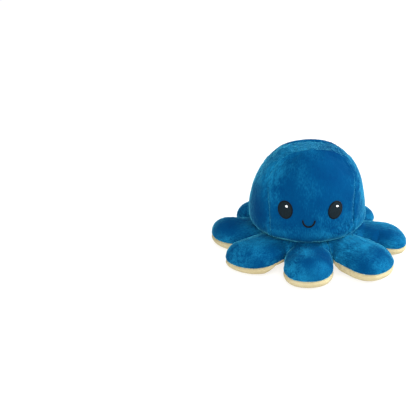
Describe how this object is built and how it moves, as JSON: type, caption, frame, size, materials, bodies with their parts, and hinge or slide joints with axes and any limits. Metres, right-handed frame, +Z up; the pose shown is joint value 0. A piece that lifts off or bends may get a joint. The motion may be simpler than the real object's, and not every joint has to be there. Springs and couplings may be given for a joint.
{
  "type": "plush octopus",
  "caption": "Stuffed plush octopus with a round head, an embroidered face, a flat base and a ring of plump two-tone arms that bend at the neck.",
  "frame": {"origin": "on the table, under the middle of the ring of arms: the centre of the base panel's flat underside", "axes": "+Z up, -Y the way the face looks, +X to the right of a person who looks at the face"},
  "size_m": [0.202, 0.1945, 0.1132],
  "materials": {
    "blue_plush": "short pile",
    "cream_plush": "short pile",
    "stuffing": "loose fibre",
    "eye_thread": "satin stitch",
    "glint_thread": "satin stitch"
  },
  "bodies": {
    "body": {"head_front_panel": "blue_plush", "head_gusset": "blue_plush", "head_back_panel": "blue_plush", "head_stuffing": "stuffing", "neck_band": "blue_plush", "base_panel": "cream_plush", "eye_left": "eye_thread", "eye_right": "eye_thread", "eye_left_glint": "glint_thread", "eye_right_glint": "glint_thread", "smile": "eye_thread"},
    "arm_front": {"arm_front_top": "blue_plush", "arm_front_underside": "cream_plush", "arm_front_stuffing": "stuffing"},
    "arm_front_right": {"arm_front_right_top": "blue_plush", "arm_front_right_underside": "cream_plush", "arm_front_right_stuffing": "stuffing"},
    "arm_right": {"arm_right_top": "blue_plush", "arm_right_underside": "cream_plush", "arm_right_stuffing": "stuffing"},
    "arm_back_right": {"arm_back_right_top": "blue_plush", "arm_back_right_underside": "cream_plush", "arm_back_right_stuffing": "stuffing"},
    "arm_back": {"arm_back_top": "blue_plush", "arm_back_underside": "cream_plush", "arm_back_stuffing": "stuffing"},
    "arm_back_left": {"arm_back_left_top": "blue_plush", "arm_back_left_underside": "cream_plush", "arm_back_left_stuffing": "stuffing"},
    "arm_left": {"arm_left_top": "blue_plush", "arm_left_underside": "cream_plush", "arm_left_stuffing": "stuffing"},
    "arm_front_left": {"arm_front_left_top": "blue_plush", "arm_front_left_underside": "cream_plush", "arm_front_left_stuffing": "stuffing"}
  },
  "joints": [
    {"name": "arm_front_bend", "type": "hinge", "parent": "body", "child": "arm_front", "pos_m": [0, -0.053, 0.01325], "axis": [-1, 0, 0], "range_deg": [-35, 38], "stiffness_Nm_per_rad": 0.02},
    {"name": "arm_front_right_bend", "type": "hinge", "parent": "body", "child": "arm_front_right", "pos_m": [0.03748, -0.03748, 0.01325], "axis": [-0.7071, -0.7071, 0], "range_deg": [-35, 38], "stiffness_Nm_per_rad": 0.02},
    {"name": "arm_right_bend", "type": "hinge", "parent": "body", "child": "arm_right", "pos_m": [0.053, 0, 0.01325], "axis": [0, -1, 0], "range_deg": [-35, 38], "stiffness_Nm_per_rad": 0.02},
    {"name": "arm_back_right_bend", "type": "hinge", "parent": "body", "child": "arm_back_right", "pos_m": [0.03748, 0.03748, 0.01325], "axis": [0.7071, -0.7071, 0], "range_deg": [-35, 38], "stiffness_Nm_per_rad": 0.02},
    {"name": "arm_back_bend", "type": "hinge", "parent": "body", "child": "arm_back", "pos_m": [0, 0.053, 0.01325], "axis": [1, 0, 0], "range_deg": [-35, 38], "stiffness_Nm_per_rad": 0.02},
    {"name": "arm_back_left_bend", "type": "hinge", "parent": "body", "child": "arm_back_left", "pos_m": [-0.03748, 0.03748, 0.01325], "axis": [0.7071, 0.7071, 0], "range_deg": [-35, 38], "stiffness_Nm_per_rad": 0.02},
    {"name": "arm_left_bend", "type": "hinge", "parent": "body", "child": "arm_left", "pos_m": [-0.053, 0, 0.01325], "axis": [0, 1, 0], "range_deg": [-35, 38], "stiffness_Nm_per_rad": 0.02},
    {"name": "arm_front_left_bend", "type": "hinge", "parent": "body", "child": "arm_front_left", "pos_m": [-0.03748, -0.03748, 0.01325], "axis": [-0.7071, 0.7071, 0], "range_deg": [-35, 38], "stiffness_Nm_per_rad": 0.02}
  ]
}
